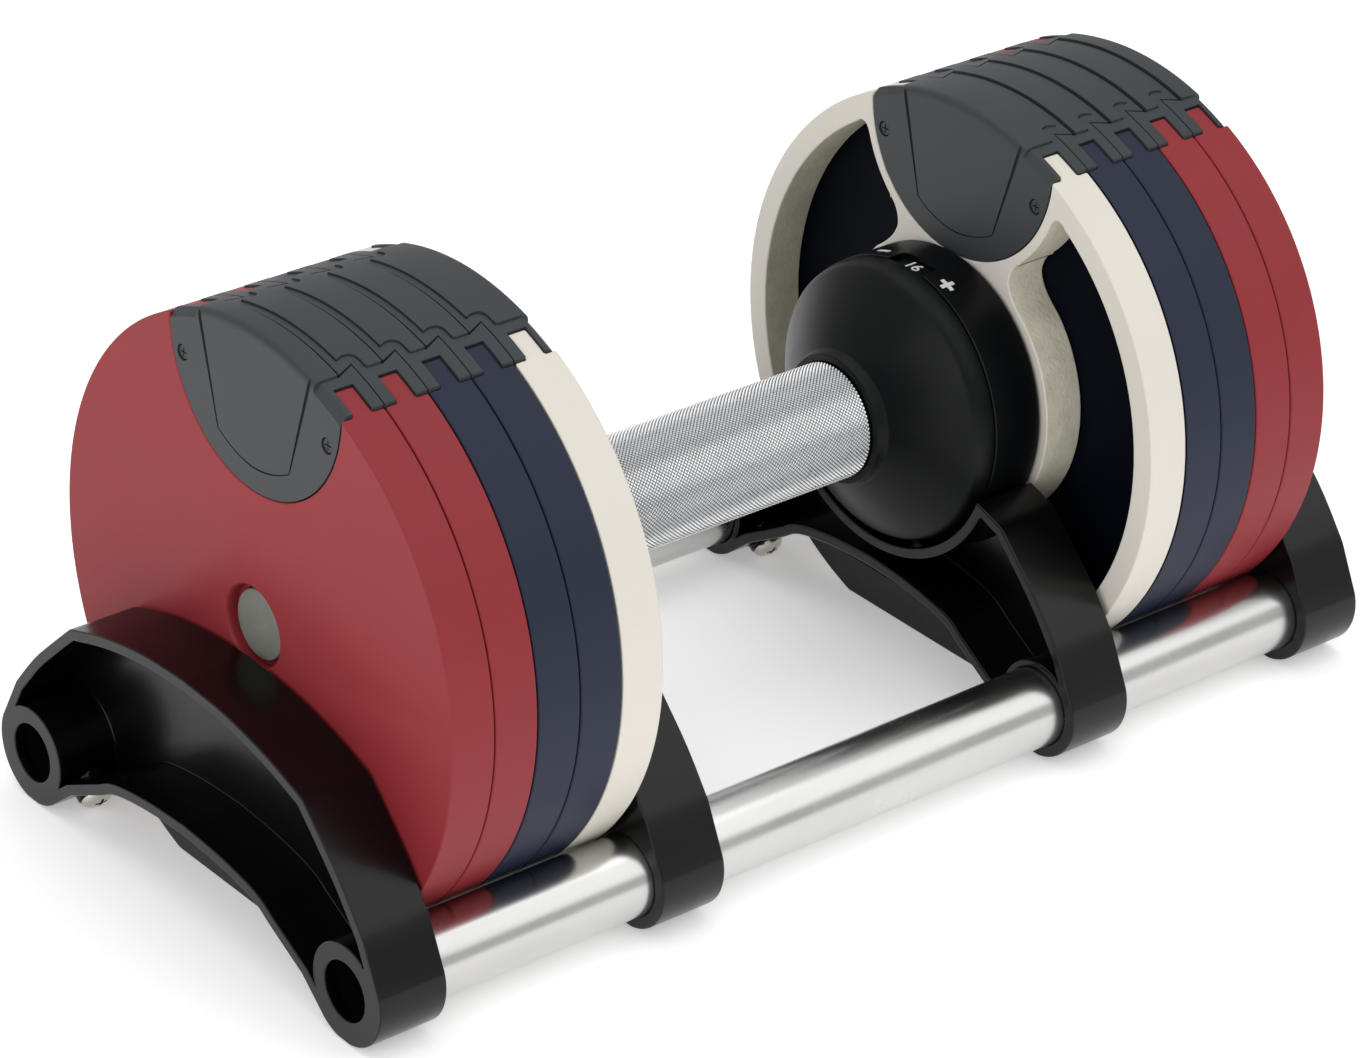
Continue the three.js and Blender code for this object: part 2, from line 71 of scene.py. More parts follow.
# plates
PLATE_R = 85.0
PLATE_FLAT = AXIS_Z - span("plate_3_right", 2)[0]  # from the handle axis down to the flat
PLATE_BORE = 10.0
RIM_R = 12.3  # counterbore round the disc in the outermost plate
RIM_DEPTH = 3.8
KIDNEY_R = 77.8  # outer and inner radius of the first plate's two openings
KIDNEY_HUB = 43.4

# round notch at the top of each plate, and the insert in it
NOTCH_UP = 77.4  # its centre above the handle axis
NOTCH_R = 37.1
NOTCH_WEB = 3.0  # metal between the notch and an opening
GAP = 0.3
BASE_R = 85.55  # the insert's low level, just proud of the plates' rims
BASE_EASE = 2.2
CREST_R = 86.1  # its raised middle
CREST_HALF = 25.4
CREST_NECK = 19.6
CREST_EASE = 2.4
GROOVE = 0.22  # fine groove round the raised middle
GROOVE_DEPTH = 0.45
INSERT_HALF = 36.78
INSERT_LOW, INSERT_HIGH = AXIS_Z + 30, AXIS_Z + 100  # cutters reach from below an insert to above it
CREST_LOW = AXIS_Z + 60
TAB_R = 80.6  # two tabs of each plate's rim stand in slots of the insert
TAB_TOP = 19.8
TAB_ROOT = 27.4
FINGER_T = 3.7  # insert left on each side of a tab
TONGUE = 6.0  # dovetail tongue that slides up out of the next insert
TONGUE_NECK = 22.8
TONGUE_HEAD = 25.6
INSERT_SCREW = (31.2, 67.0)  # beside and above the handle axis
INSERT_SCREW_HOLE = 2.3
PANEL_DEPTH = 0.7

# handle
KNURL_DEEP = 0.42
KNURLS_AROUND = 86
SLEEVE_BORE = 14.7
DISC_R = 9.85

# cradle
TUBE_BORE = 9.9
BOSS_R = 15.3
BOSS_RING = 13.6
BOSS_EYE = 8.5
SADDLE_R = 43.5
WALL = 3.2
BACK = 3.0
GUARD_R = 85.2
GUARD_LOW = 0.3
SCREW_ANGLE = 58.0
LOCK_X = 79.5  # the lock pins' own line
LOCK_POST_R = 4.5
LOCK_POST_TOP = AXIS_Z - 42.9

# ---- mesh helpers ----------------------------------------------------------------------------
scratch = bpy.data.collections.new("scratch")
bpy.context.scene.collection.children.link(scratch)


def arc(cy, cz, r, start, end, step=3.0):
    """Points on a circle, with angles and the step in degrees."""
    count = max(2, int(math.ceil(abs(end - start) / step)))
    out = []
    for i in range(count + 1):
        a = math.radians(start + (end - start) * i / count)
        out.append((cy + r * math.cos(a), cz + r * math.sin(a)))
    return out


def tidy(points, least=0.02):
    """Drops points that nearly repeat the one before."""
    out = []
    for p in points:
        if not out or math.dist(p, out[-1]) > least:
            out.append(p)
    while math.dist(out[0], out[-1]) < least:
        out.pop()
    return out


def extruded(points, a, b, place):
    """A closed outline run from `a` to `b`; place(u, v, a) gives a corner in metres."""
    bm = bmesh.new()
    points = tidy(points)
    low = [bm.verts.new(place(u, v, a)) for u, v in points]
    high = [bm.verts.new(place(u, v, b)) for u, v in points]
    bm.faces.new(low)
    bm.faces.new(high)
    n = len(points)
    for i in range(n):
        j = (i + 1) % n
        bm.faces.new((low[i], low[j], high[j], high[i]))
    bmesh.ops.recalc_face_normals(bm, faces=bm.faces)
    return as_mesh(bm)


def as_mesh(bm):
    mesh = bpy.data.meshes.new("m")
    bm.to_mesh(mesh)
    bm.free()
    return mesh


def prism(points, x0, x1, up=None):
    """Outline in (y, z) about the handle axis, or about height `up`, run along X."""
    zc = AXIS_Z if up is None else up
    return extruded(points, x0, x1, lambda y, z, x: (x * MM, y * MM, (z + zc) * MM))


def column(points, z0, z1):
    """Plan in (x, y) run up from z0 to z1, measured from the floor."""
    return extruded(points, z0, z1, lambda x, y, z: (x * MM, y * MM, z * MM))


def block(x0, x1, y0, y1, z0, z1):
    return column([(x0, y0), (x1, y0), (x1, y1), (x0, y1)], z0, z1)


def turned(profile, segments=128, yc=0.0, zc=None, closed=True):
    """A profile of (x, radius) turned about the X direction through (yc, zc)."""
    zc = AXIS_Z if zc is None else zc
    bm = bmesh.new()
    rings = []
    for x, r in profile:
        if r < 1e-6:
            rings.append([bm.verts.new((x * MM, yc * MM, zc * MM))])
            continue
        ring = []
        for i in range(segments):
            a = 2 * math.pi * i / segments
            y, z = yc + r * math.sin(a), zc + r * math.cos(a)
            ring.append(bm.verts.new((x * MM, y * MM, z * MM)))
        rings.append(ring)
    pairs = list(zip(rings, rings[1:]))
    if closed:
        pairs.append((rings[-1], rings[0]))
    for one, two in pairs:
        if len(one) == 1 and len(two) == 1:
            continue
        for i in range(segments):
            j = (i + 1) % segments
            if len(one) == 1:
                bm.faces.new((one[0], two[i], two[j]))
            elif len(two) == 1:
                bm.faces.new((one[i], two[0], one[j]))
            else:
                bm.faces.new((one[i], two[i], two[j], one[j]))
    bmesh.ops.recalc_face_normals(bm, faces=bm.faces)
    return as_mesh(bm)


def rod(x0, x1, r, y=0.0, z=0.0, up=None, segments=64):
    """A cylinder along X, `y` and `z` away from the handle axis or from height `up`."""
    zc = (AXIS_Z if up is None else up) + z
    return turned([(x0, 0), (x0, r), (x1, r), (x1, 0)], segments, y, zc, closed=False)


def rounded(profile, radius=0.6, steps=3):
    """Rounds the corners of a closed profile."""
    out = []
    n = len(profile)
    for i in range(n):
        p = Vector(profile[i - 1])
        c = Vector(profile[i])
        q = Vector(profile[(i + 1) % n])
        before, after = p - c, q - c
        turn = before.angle(after, math.pi)
        if turn > math.radians(172) or radius <= 0:
            out.append(tuple(c))
            continue
        reach = min(radius, before.length * 0.45, after.length * 0.45)
        a = c + before.normalized() * reach
        b = c + after.normalized() * reach
        for k in range(steps + 1):
            t = k / steps
            out.append(tuple(a * (1 - t) ** 2 + c * 2 * t * (1 - t) + b * t ** 2))
    return out


def moved(mesh, matrix):
    """A moved or mirrored copy, with its faces still pointing out."""
    copy = mesh.copy()
    copy.transform(matrix)
    if matrix.determinant() < 0:
        copy.flip_normals()
    return copy


MIRROR = Matrix.Diagonal((-1, 1, 1, 1))


def boolean(base, tools, operation):
    """Joins or cuts `base` with each tool mesh."""
    obj = bpy.data.objects.new("b", base)
    scratch.objects.link(obj)
    held = []
    for tool in tools:
        other = bpy.data.objects.new("t", tool)
        scratch.objects.link(other)
        held.append(other)
        mod = obj.modifiers.new("b", "BOOLEAN")
        mod.operation = operation
        mod.solver = "MANIFOLD"
        mod.object = other
    graph = bpy.context.evaluated_depsgraph_get()
    result = bpy.data.meshes.new_from_object(obj.evaluated_get(graph))
    for other in held + [obj]:
        bpy.data.objects.remove(other)
    bm = bmesh.new()
    bm.from_mesh(result)
    bmesh.ops.remove_doubles(bm, verts=bm.verts, dist=0.004 * MM)
    bmesh.ops.dissolve_degenerate(bm, edges=bm.edges, dist=0.002 * MM)
    bm.to_mesh(result)
    bm.free()
    result.materials.clear()
    return result


def cut(base, *tools):
    return boolean(base, tools, "DIFFERENCE")


def join(base, *tools):
    return boolean(base, tools, "UNION")


def both(base, tool):
    return boolean(base, [tool], "INTERSECT")


def piece(name, mesh, body, material, slot, node=None, edge=0.0, steps=2, sharp=32, second=None):
    """One object; `second` says which faces take the second of two materials."""
    obj = bpy.data.objects.new(name, mesh)
    bpy.context.scene.collection.objects.link(obj)
    mesh.materials.clear()
    for m in material if isinstance(material, list) else [material]:
        mesh.materials.append(m)
    if second:
        for poly in mesh.polygons:
            poly.material_index = int(second(poly))
    mesh.shade_smooth()
    mesh.set_sharp_from_angle(angle=math.radians(sharp))
    if edge:
        mod = obj.modifiers.new("edge", "BEVEL")
        mod.width = edge * MM
        mod.segments = steps
        mod.limit_method = "ANGLE"
        mod.angle_limit = math.radians(sharp)
        mod.use_clamp_overlap = False
        mod.harden_normals = True
        mod.miter_outer = "MITER_ARC"
    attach(obj, body)
    if node:
        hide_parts(node)
    return obj


def pair(name, mesh, body, material, slot, node=None, **more):
    """The piece on the right and its mirror image on the left."""
    for side, matrix in (("right", Matrix.Identity(4)), ("left", MIRROR)):
        target = body.format(side=side)
        piece(f"{name}_{side}", moved(mesh, matrix), target, material, slot,
              f"{node}_{side}" if node else None, **more)


# ---- materials -------------------------------------------------------------------------------
def shader(name):
    mat = bpy.data.materials.new(name)
    mat.use_nodes = True
    tree = mat.node_tree
    return mat, tree, tree.nodes["Principled BSDF"]


def noise(tree, scale, detail=3.0, rough=0.5, stretch=(1, 1, 1)):
    coord = tree.nodes.new("ShaderNodeTexCoord")
    mapping = tree.nodes.new("ShaderNodeMapping")
    mapping.inputs["Scale"].default_value = stretch
    tex = tree.nodes.new("ShaderNodeTexNoise")
    tex.inputs["Scale"].default_value = scale
    tex.inputs["Detail"].default_value = detail
    tex.inputs["Roughness"].default_value = rough
    tree.links.new(coord.outputs["Object"], mapping.inputs["Vector"])
    tree.links.new(mapping.outputs["Vector"], tex.inputs["Vector"])
    return tex


def ramp(tree, source, stops):
    node = tree.nodes.new("ShaderNodeValToRGB")
    elements = node.color_ramp.elements
    while len(elements) < len(stops):
        elements.new(0.5)
    for element, (at, value) in zip(elements, stops):
        element.position = at
        element.color = value if len(value) == 4 else (*value, 1)
    tree.links.new(source, node.inputs["Fac"])
    return node.outputs["Color"]


def bump(tree, bsdf, height, strength, distance):
    node = tree.nodes.new("ShaderNodeBump")
    node.inputs["Strength"].default_value = strength
    node.inputs["Distance"].default_value = distance * MM
    tree.links.new(height, node.inputs["Height"])
    tree.links.new(node.outputs["Normal"], bsdf.inputs["Normal"])


def linear(r, g, b):
    """A screen colour of 0 to 255 as the linear values that a shader takes."""
    def one(v):
        v /= 255
        return v / 12.92 if v <= 0.04045 else ((v + 0.055) / 1.055) ** 2.4
    return (one(r), one(g), one(b))


def scaled(color, k):
    return tuple(min(1, c * k) for c in color)


def surface(name, rgb, rough, vary=0.08, patch=28, grain=900, height=0.05, metallic=0.0,
            specular=0.5, swing=0.05, stretch=(1, 1, 1), coat=0.0):
    """Colour that drifts a little, roughness that drifts with it, and a fine grain."""
    mat, tree, bsdf = shader(name)
    color = linear(*rgb)
    big = noise(tree, patch, 4, 0.6)
    tint = ramp(tree, big.outputs["Fac"],
                [(0.3, scaled(color, 1 - vary)), (0.7, scaled(color, 1 + vary))])
    tree.links.new(tint, bsdf.inputs["Base Color"])
    sheen = ramp(tree, big.outputs["Fac"],
                 [(0.3, (rough - swing,) * 3), (0.7, (rough + swing,) * 3)])
    tree.links.new(sheen, bsdf.inputs["Roughness"])
    fine = noise(tree, grain, 2, 0.5, stretch)
    bump(tree, bsdf, fine.outputs["Fac"], 0.6, height)
    bsdf.inputs["Metallic"].default_value = metallic
    bsdf.inputs["Specular IOR Level"].default_value = specular
    bsdf.inputs["Coat Weight"].default_value = coat
    bsdf.inputs["Coat Roughness"].default_value = 0.1
    return mat


RED = surface("red_paint", (141, 45, 50), 0.5, 0.05, 22, 1500, 0.05, specular=0.22)
NAVY = surface("navy_paint", (36, 42, 60), 0.5, 0.06, 22, 1500, 0.05, specular=0.2)
# Near-black navy: painted shade on the second plate's faces towards the handle, seen through the first
# plate's openings
SHADE = surface("navy_painted_shade", (7, 11, 21), 0.6, 0.08, 22, 1500, 0.05, specular=0.05)
WHITE = surface("white_paint", (222, 216, 206), 0.5, 0.02, 22, 1500, 0.05, specular=0.3)
CAST = surface("cast_wall", (226, 221, 202), 0.8, 0.1, 160, 700, 0.35, swing=0.08, specular=0.3)
INSERT = surface("insert_plastic", (54, 58, 61), 0.46, 0.07, 30, 2200, 0.05, specular=0.3)
HUB = surface("hub_plastic", (8, 10, 12), 0.38, 0.06, 30, 2400, 0.02, specular=0.17)
GLOSS = surface("bracket_gloss", (6, 7, 8), 0.24, 0.1, 18, 120, 0.06, swing=0.04,
                specular=0.28, coat=0.06)
CHROME = surface("chrome", (204, 204, 202), 0.25, 0.03, 40, 900, 0.004, 1.0, swing=0.03,
                 stretch=(0.03, 1, 1))


def knurl_metal():
    """Painted shade in the knurl's grooves and painted highlight on its points, by distance from the
    axis.
    """
    mat, tree, bsdf = shader("knurled_steel")
    coord = tree.nodes.new("ShaderNodeTexCoord")
    centre = tree.nodes.new("ShaderNodeVectorMath")
    centre.operation = "SUBTRACT"
    centre.inputs[1].default_value = (0, 0, AXIS_Z * MM)
    flat = tree.nodes.new("ShaderNodeVectorMath")
    flat.operation = "MULTIPLY"
    flat.inputs[1].default_value = (0, 1, 1)
    length = tree.nodes.new("ShaderNodeVectorMath")
    length.operation = "LENGTH"
    depth = tree.nodes.new("ShaderNodeMapRange")
    depth.inputs["From Min"].default_value = (GRIP_R - KNURL_DEEP) * MM
    depth.inputs["From Max"].default_value = GRIP_R * MM
    tree.links.new(coord.outputs["Object"], centre.inputs[0])
    tree.links.new(centre.outputs["Vector"], flat.inputs[0])
    tree.links.new(flat.outputs["Vector"], length.inputs[0])
    tree.links.new(length.outputs["Value"], depth.inputs["Value"])
    # Grooves dark as painted shade, points near white as painted highlight
    groove, flank, point = linear(70, 72, 76), linear(178, 180, 184), linear(253, 254, 255)
    shade = ramp(tree, depth.outputs["Result"], [(0.0, groove), (0.22, flank), (0.5, point)])
    tree.links.new(shade, bsdf.inputs["Base Color"])
    patch = noise(tree, 260, 3, 0.6)
    tree.links.new(ramp(tree, patch.outputs["Fac"], [(0.35, (0.22,) * 3), (0.65, (0.42,) * 3)]),
                   bsdf.inputs["Roughness"])
    bsdf.inputs["Metallic"].default_value = 1.0
    return mat


KNURL = knurl_metal()
STEEL = surface("bare_steel", (172, 170, 165), 0.32, 0.06, 60, 900, 0.01, 1.0, stretch=(1, 0.1, 1))
SCREW = surface("screw_steel", (196, 192, 182), 0.2, 0.06, 200, 1500, 0.01, 1.0)
DISC = surface("grey_disc", (122, 124, 116), 0.7, 0.08, 240, 900, 0.25, 0.2)
# Near-black inside of the base tubes: painted shade in their bores
BORE = surface("tube_bore_painted_shade", (10, 10, 10), 0.9, 0.1, 60, 900, 0.05, specular=0.06)
MARK = surface("white_mark", (225, 225, 222), 0.5, 0.02, 60, 1500, 0.01)

# ---- weight plates ---------------------------------------------------------------------------


def crossing(about_axis, about_notch):
    """Where a circle about the handle axis meets one about the notch's centre."""
    z = (about_axis ** 2 + NOTCH_UP ** 2 - about_notch ** 2) / (2 * NOTCH_UP)
    return math.sqrt(about_axis ** 2 - z ** 2), z


def plate_outline():
    flat = math.degrees(math.asin(PLATE_FLAT / PLATE_R))
    return arc(0, 0, PLATE_R, 180 + flat, -flat, 1.8)


def curve(start, control, end, steps=7):
    """Points after `start` on a quadratic curve to `end`."""
    out = []
    for i in range(1, steps + 1):
        t = i / steps
        out.append(tuple(
            (1 - t) ** 2 * a + 2 * t * (1 - t) * c + t ** 2 * b
            for a, c, b in zip(start, control, end)))
    return out


def kidney_outline(side):
    """One of the first plate's openings: along the rim, round the hub and along the notch."""
    hub = arc(0, 0, KIDNEY_HUB, -52, 44, 4)
    web = arc(0, NOTCH_UP, NOTCH_R + NOTCH_WEB, -47.7, -21, 4)
    low = math.radians(-58)
    corner = (KIDNEY_HUB * math.cos(low), KIDNEY_HUB * math.sin(low))
    line = arc(0, 0, KIDNEY_R, 56, -58, 3)
    line += curve(line[-1], (35.2, -71.4), (29.6, -63.6))
    line += [(23.4, -48.6)]
    line += curve(line[-1], (19.6, -41.5), corner)
    line += hub
    line += curve(line[-1], (24.2, 35.4), (23.2, 40.2))
    line += curve(line[-1], (23.2, 44.6), (27, 47.7))
    line += web
    line += curve(line[-1], (39.6, 68.4), (43.5, 64.5))
    return [(side * y, z) for y, z in line]


def ring_part(x0, x1, side, inner, outer, start, end):
    """A length of ring between two radii; the angles are from the top, in degrees."""
    low, high = 90 - end, 90 - start
    line = arc(0, 0, outer, low, high, 1.5) + arc(0, 0, inner, high, low, 1.5)
    return prism([(side * y, z) for y, z in line], x0, x1)


def plate_mesh(opened=False, rimmed=False):
    """A plate from x = 0 up; `opened` is the first one and `rimmed` the last."""
    t = PLATE_T
    notch = prism(arc(0, NOTCH_UP, NOTCH_R, 0, 356, 4), -1, t + 1)
    tabs = []
    for side in (-1, 1):
        tabs.append(ring_part(FINGER_T, t - FINGER_T, side, TAB_R, PLATE_R + 5,
                              TAB_TOP, TAB_ROOT + 6))
    tools = [cut(notch, *tabs), rod(-1, t + 1, PLATE_BORE, segments=72)]
    if opened:
        tools += [prism(kidney_outline(side), -1, t + 1) for side in (-1, 1)]
    if rimmed:
        line = [(t - RIM_DEPTH, 0), (t - RIM_DEPTH, RIM_R - 0.8), (t - 1.4, RIM_R - 0.8)]
        line += curve(line[-1], (t - 0.1, RIM_R - 0.7), (t, RIM_R), 5)
        line += [(t + 1, RIM_R), (t + 1, 0)]
        tools.append(turned(line, 96, closed=False))
    return cut(prism(plate_outline(), 0, t), *tools)


def shift(x):
    return Matrix.Translation((x * MM, 0, 0))


BODY_OF = {1: "dumbbell", 2: "dumbbell", 3: "dumbbell", 4: "fourth_plates", 5: "outer_plates"}


def inner_face(poly):
    """Whether a face of a plate looks towards the handle."""
    return poly.normal.x * poly.center.x < -0.9 * abs(poly.center.x)


def kidney_wall(poly):
    """Whether a face is the rough wall of one of the first plate's openings."""
    y, z = poly.center.y / MM, poly.center.z / MM - AXIS_Z
    if abs(poly.normal.x) > 0.3 or math.hypot(y, z - NOTCH_UP) < NOTCH_R + 1.5:
        return False
    return 20 < math.hypot(y, z) < KIDNEY_R + 1


solid_plate = plate_mesh()
PLATES = {
    1: (plate_mesh(opened=True), [WHITE, CAST], "white", kidney_wall),
    # The second plate's faces towards the handle take the navy painted shade
    2: (plate_mesh(), [NAVY, SHADE], "navy", inner_face),
    3: (solid_plate, NAVY, "navy", None),
    4: (solid_plate, RED, "red", None),
    5: (plate_mesh(rimmed=True), RED, "red", None),
}
for number, (mesh, looks, slot, second) in PLATES.items():
    mesh = moved(mesh, shift(PLATE_X[number - 1][0]))
    pair(f"weight_{number}", mesh, BODY_OF[number], looks, slot, f"plate_{number}",
         edge=0.5, second=second)

# ---- inserts in the plates' notches ----------------------------------------------------------


def lens(radius_top, inset):
    """Outline between the notch, less `inset`, and a circle about the handle axis."""
    radius = NOTCH_R - inset
    cy, cz = crossing(radius_top, radius)
    top = math.degrees(math.atan2(cz, cy))
    side = math.degrees(math.atan2(cz - NOTCH_UP, cy))
    line = arc(0, 0, radius_top, top, 180 - top, 2)
    return line + arc(0, NOTCH_UP, radius, 180 - side, 360 + side, 4)


def tongue_plan(x, socket):
    """Plan of a dovetail tongue, wider at its tip, or of the roomier socket for it."""
    neck, head, reach = TONGUE_NECK, TONGUE_HEAD, TONGUE
    if socket:
        neck, head, reach = neck + GAP, head + GAP, reach + GAP
    else:
        neck, head, reach = neck - 0.2, head - 0.8, reach - 0.6
    half = [(x - 3, neck), (x, neck), (x + reach, head)]
    return [(a, -b) for a, b in half] + half[::-1]


def crest_plan(x_in, x_out, first, last, grow=0.0, early=0.0):
    """Plan of the raised middle of an insert, stepping in before its outer face.

    `grow` widens it all round and `early` starts it nearer the handle, for the groove's cutter.
    """
    start = x_in if first else x_in - (PITCH - PLATE_T) + TONGUE + GAP
    start -= early
    wide, narrow = CREST_HALF + grow, CREST_NECK + grow
    if last:
        half = [(start, wide), (x_out + grow, wide)]
    else:
        step = x_out - 2.7 + grow
        half = [(start, wide), (step - 0.9, wide)]
        half += curve(half[-1], (step, wide), (step, wide - 0.9), 4)
        half += [(step, narrow + 3)]
        half += curve(half[-1], (step, narrow), (step + 2.7, narrow), 8)
        half += [(x_out + 1.2, narrow + 0.1), (x_out + 3 + grow, narrow + 0.8)]
    return [(a, -b) for a, b in half] + half[::-1]


def panel_outline(grow, top):
    """Outline of the flat panel in an end insert's face, open at the top."""
    y, low = 25.5 + grow, 15.4 + grow
    line = [(y, top), (-y, top), (-low, 52 - grow * 0.4)]
    line += curve(line[-1], (-8, 47.4 - grow), (0, 47.2 - grow), 6)
    line += curve(line[-1], (8, 47.4 - grow), (low, 52 - grow * 0.4), 6)
    return line


def eased_disc(radius, x0, x1, open_low, ease, steps=5):
    """A disc whose rim is rounded off, or chamfered with one step, at the end in view."""
    if open_low:
        line = [(x1, 0), (x1, radius), (x0 + ease, radius)]
        line += curve(line[-1], (x0, radius), (x0, radius - ease), steps) + [(x0, 0)]
    else:
        line = [(x0, 0), (x0, radius), (x1 - ease, radius)]
        line += curve(line[-1], (x1, radius), (x1, radius - ease), steps) + [(x1, 0)]
    return turned(line, 256, closed=False)


def insert_mesh(number):
    x0, x1 = 0.0, PLATE_T
    past_tongue = x1 + TONGUE + 1
    first, last = number == 1, number == 5
    face, inward = (x0, 1) if first else (x1, -1)
    ends = (x0, past_tongue + 1) if first else (x0 - 2, x1)

    mesh = prism(lens(BASE_R, GAP), x0, x1)
    if first or last:
        mesh = both(mesh, eased_disc(BASE_R + 0.05, *ends, first, BASE_EASE, 1))
    if not last:
        reach = prism(lens(BASE_R, GAP + 0.6), x1 - 2, past_tongue)
        tongue = both(column(tongue_plan(x1, False), INSERT_LOW, INSERT_HIGH), reach)
        mesh = join(mesh, tongue)

    # The groove is cut from the low level first, a little wider than the raised middle.
    wide = column(crest_plan(x0, x1, first, last, GROOVE, 0.5), CREST_LOW, INSERT_HIGH)
    floor = prism(lens(BASE_R - GROOVE_DEPTH, GAP - 1), x0 - 2, past_tongue + 2)
    mesh = cut(mesh, cut(wide, floor))
    crest = both(column(crest_plan(x0, x1, first, last), CREST_LOW, INSERT_HIGH),
                 prism(lens(CREST_R, GAP + 0.8), x0, past_tongue))
    mesh = join(mesh, crest)
    if first or last:
        mesh = both(mesh, eased_disc(CREST_R + 0.02, *ends, first, CREST_EASE))

    tools = []
    for side in (-1, 1):
        tools.append(ring_part(FINGER_T - GAP / 2, PLATE_T - FINGER_T + GAP / 2, side,
                               TAB_R - GAP, PLATE_R + 3, TAB_TOP - 0.2, TAB_ROOT + 6))
        near, far = sorted((side * INSERT_HALF, side * 50))
        tools.append(block(-3, 30, near, far, INSERT_LOW, INSERT_HIGH))
    if not first:
        socket = tongue_plan(x0 - (PITCH - PLATE_T), True)
        tools.append(column(socket, INSERT_LOW, INSERT_HIGH))
    if first or last:
        a, b = sorted((face - inward * 3, face + inward * PANEL_DEPTH))
        island = prism(panel_outline(-0.2, 90), a - 1, b + 1)
        tools.append(cut(prism(panel_outline(0.3, 86), a, b), island))
        y, z = INSERT_SCREW
        for side in (-1, 1):
            c, d = sorted((face - inward, face + inward * 4))
            tools.append(rod(c, d, INSERT_SCREW_HOLE, side * y, z, segments=32))
    return cut(mesh, *tools)


for number in range(1, 6):
    mesh = moved(insert_mesh(number), shift(PLATE_X[number - 1][0]))
    pair(f"top_insert_{number}", mesh, BODY_OF[number], INSERT, "insert_plastic",
         f"insert_{number}")


def cross_recess(x0, x1, half, width):
    """The two bars of a cross, about the handle axis, from x0 to x1."""
    return [block(x0, x1, -half, half, AXIS_Z - width, AXIS_Z + width),
            block(x0, x1, -width, width, AXIS_Z - half, AXIS_Z + half)]


def recessed_screw(x0, x1, open_low, r=2.0):
    """A small countersunk screw with a cross recess in its open end."""
    mesh = turned(rounded([(x0, 0.01), (x0, r), (x1, r), (x1, 0.01)], 0.25), 40)
    at = x0 if open_low else x1
    return cut(mesh, *cross_recess(at - 0.9, at + 0.9, 1.3, 0.22))


for kind, body in (("inner", "dumbbell"), ("outer", "outer_plates")):
    x0, x1 = span(f"{kind}_insert_screw_front_right", 0)
    mesh = recessed_screw(x0, x1, kind == "inner")
    for place in ("front", "rear"):
        node = f"{kind}_insert_screw_{place}"
        y, z = middle(node + "_right", 1), middle(node + "_right", 2)
        copy = moved(mesh, Matrix.Translation((0, y * MM, (z - AXIS_Z) * MM)))
        pair(f"small_{node}", copy, body, INSERT, "insert_plastic", node)

x0, x1 = span("end_plug_right", 0)
mesh = turned(rounded([(x0, 0.01), (x0, DISC_R), (x1, DISC_R), (x1, 0.01)], 0.6), 96)
pair("bore_disc", mesh, "outer_plates", DISC, "grey_disc", "end_plug")

# ---- grip with a cut diamond knurl -----------------------------------------------------------


def knurled_sleeve():
    """Four-sided points on a grid of low corners, with plain ends and a bore."""
    around = KNURLS_AROUND
    pitch = 2 * math.pi * GRIP_R / around
    rows = int((2 * GRIP_HALF - 4) / pitch) * 2
    x0 = -rows * pitch / 4
    high, low = GRIP_R, GRIP_R - KNURL_DEEP
    bm = bmesh.new()

    def at(x, a, r):
        return bm.verts.new((x * MM, r * math.sin(a) * MM, (AXIS_Z + r * math.cos(a)) * MM))

    def skirt(one, two):
        for k in range(len(one)):
            j = (k + 1) % len(one)
            bm.faces.new((one[k], one[j], two[j], two[k]))

    grid = []
    for row in range(rows + 1):
        x, turn = x0 + row * pitch / 2, 0.5 * (row % 2)
        grid.append([at(x, 2 * math.pi * (i + turn) / around, low) for i in range(around)])
    for row in range(rows - 1):
        odd = row % 2
        for i in range(around):
            left = grid[row + 1][i if not odd else (i + 1) % around]
            right = grid[row + 1][(i - 1) % around if not odd else i]
            a = 2 * math.pi * (i + 0.5 * odd) / around
            peak = at(x0 + (row + 1) * pitch / 2, a, high)
            near, far = grid[row][i], grid[row + 2][i]
            for p, q in ((near, left), (left, far), (far, right), (right, near)):
                bm.faces.new((p, q, peak))
    angles = [math.pi * k / around for k in range(2 * around)]
    stations = ((GRIP_HALF - 1.4, low), (GRIP_HALF - 0.7, low), (GRIP_HALF, low - 0.6),
                (GRIP_HALF, SLEEVE_BORE))
    bore_ends = []
    for row, beside, sign in ((0, 1, -1), (rows, rows - 1, 1)):
        even, odd = (row, beside) if row % 2 == 0 else (beside, row)
        before = [v for both_rows in zip(grid[even], grid[odd]) for v in both_rows]
        for x, r in stations:
            after = [at(sign * x, a, r) for a in angles]
            skirt(before, after)
            before = after
        bore_ends.append(before)
    skirt(bore_ends[1], bore_ends[0])
    bmesh.ops.recalc_face_normals(bm, faces=bm.faces)
    return as_mesh(bm)


piece("knurled_grip", knurled_sleeve(), "grip", KNURL, "knurled_steel", "grip_sleeve", sharp=20)

# ---- turning covers with the number ring -----------------------------------------------------
DIAL = span("dial_right", 0)
HUB_X = span("hub_housing_right", 0)
HUB_R = (span("hub_housing_right", 2)[1] - span("hub_housing_right", 2)[0]) / 2
COVER_R = (span("dial_right", 2)[1] - span("dial_right", 2)[0]) / 2
RING_R = 40.2  # ring that carries the numbers, seen through the hub's window
NUMBER_X = 72.3
SIGN_X = 73.2
SIGN_TURN = 18.5  # degrees from the top to the plus and the minus


